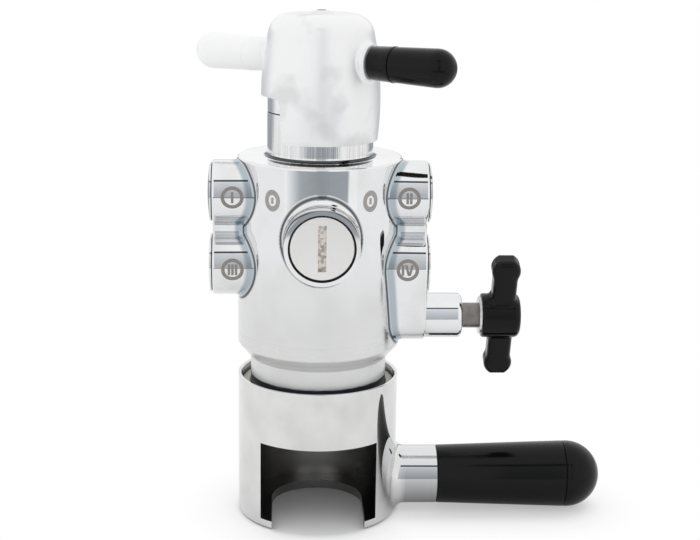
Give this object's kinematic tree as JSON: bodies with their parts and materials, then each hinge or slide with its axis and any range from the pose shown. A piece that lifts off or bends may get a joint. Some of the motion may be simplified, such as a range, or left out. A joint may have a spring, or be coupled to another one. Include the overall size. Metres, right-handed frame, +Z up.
{
  "type": "bottle filling tap",
  "caption": "Chromed counter-pressure bottle filling tap with a two-lever turning head, side line bosses, a slotted regulator, a bleed valve with wing knob and a handled clamping bell.",
  "frame": {"origin": "on the axis of the clamping bell, at the flat rim that the tap stands on; it is also the centre of the neck slot's round end", "axes": "+Z up along the tap's main axis, -Y towards the front with the slotted regulator and the bell's window, +X towards the bell's handle and the wing knob"},
  "size_m": [0.1708, 0.1213, 0.2084],
  "materials": {
    "chromed_brass": "polished chrome plate",
    "stainless": "turned stainless steel",
    "seal_rubber": "black food-grade rubber",
    "sliding_plastic": "natural low-friction plastic",
    "black_plastic": "semi-matte moulded plastic",
    "white_plastic": "semi-matte moulded plastic"
  },
  "bodies": {
    "body": {"body_casting": "chromed_brass", "bonnet_nut": "chromed_brass", "bonnet_gasket": "seal_rubber", "rotor_washer": "sliding_plastic", "end_plug_seals": "seal_rubber", "inlet_washers": "seal_rubber", "regulator_face_seal": "seal_rubber", "bottle_seal": "seal_rubber", "filling_nozzle": "stainless", "mounting_shank": "stainless", "shank_washer": "chromed_brass", "shank_nut": "chromed_brass", "stop_pin": "stainless", "end_plug_1": "chromed_brass", "check_cartridge_1": "sliding_plastic", "check_membrane_1": "seal_rubber", "inlet_tail_1": "stainless", "end_plug_2": "chromed_brass", "check_cartridge_2": "sliding_plastic", "check_membrane_2": "seal_rubber", "inlet_tail_2": "stainless", "end_plug_3": "chromed_brass", "check_cartridge_3": "sliding_plastic", "check_membrane_3": "seal_rubber", "inlet_tail_3": "stainless", "end_plug_4": "chromed_brass", "check_cartridge_4": "sliding_plastic", "check_membrane_4": "seal_rubber", "inlet_tail_4": "stainless"},
    "head": {"valve_rotor": "stainless", "rotor_seals": "seal_rubber", "turning_cap": "chromed_brass", "cap_screw": "chromed_brass", "white_lever_grip": "white_plastic", "black_lever_grip": "black_plastic", "lever_studs": "stainless"},
    "regulator": {"flow_regulator": "stainless", "regulator_stem_seal": "seal_rubber"},
    "collar_ring": {"guide_ring": "sliding_plastic"},
    "collar": {"clamping_bell": "chromed_brass", "bell_grip": "black_plastic", "bell_stud": "stainless"},
    "bleed_carriage": {"bleed_seals": "seal_rubber"},
    "bleed": {"bleed_spindle": "stainless", "knob_insert": "stainless", "wing_knob": "black_plastic"}
  },
  "joints": [
    {"name": "head_turn", "type": "hinge", "parent": "body", "child": "head", "pos_m": [0, 0, 0.189], "axis": [0, 0, 1], "range_deg": [-75, 75]},
    {"name": "collar_lift", "type": "slide", "parent": "body", "child": "collar_ring", "axis": [0, 0, 1], "range_m": [0, 0.00667]},
    {"name": "collar_turn", "type": "hinge", "parent": "collar_ring", "child": "collar", "pos_m": [0, 0, 0.05], "axis": [0, 0, 1], "range_deg": [-150, 0]},
    {"name": "bleed_travel", "type": "slide", "parent": "body", "child": "bleed_carriage", "axis": [1, 0, 0], "range_m": [0, 0.0015]},
    {"name": "bleed_turn", "type": "hinge", "parent": "bleed_carriage", "child": "bleed", "pos_m": [0.06, -0.008, 0.0861], "axis": [1, 0, 0], "range_deg": [0, 360]},
    {"name": "regulator_turn", "type": "hinge", "parent": "body", "child": "regulator", "pos_m": [0, -0.04, 0.122], "axis": [0, 1, 0], "range_deg": [0, 90]}
  ],
  "couplings": [
    {"joint": "collar_turn", "follows": "collar_lift", "rad_per_m": -392.7},
    {"joint": "bleed_turn", "follows": "bleed_travel", "rad_per_m": 4188.8}
  ]
}
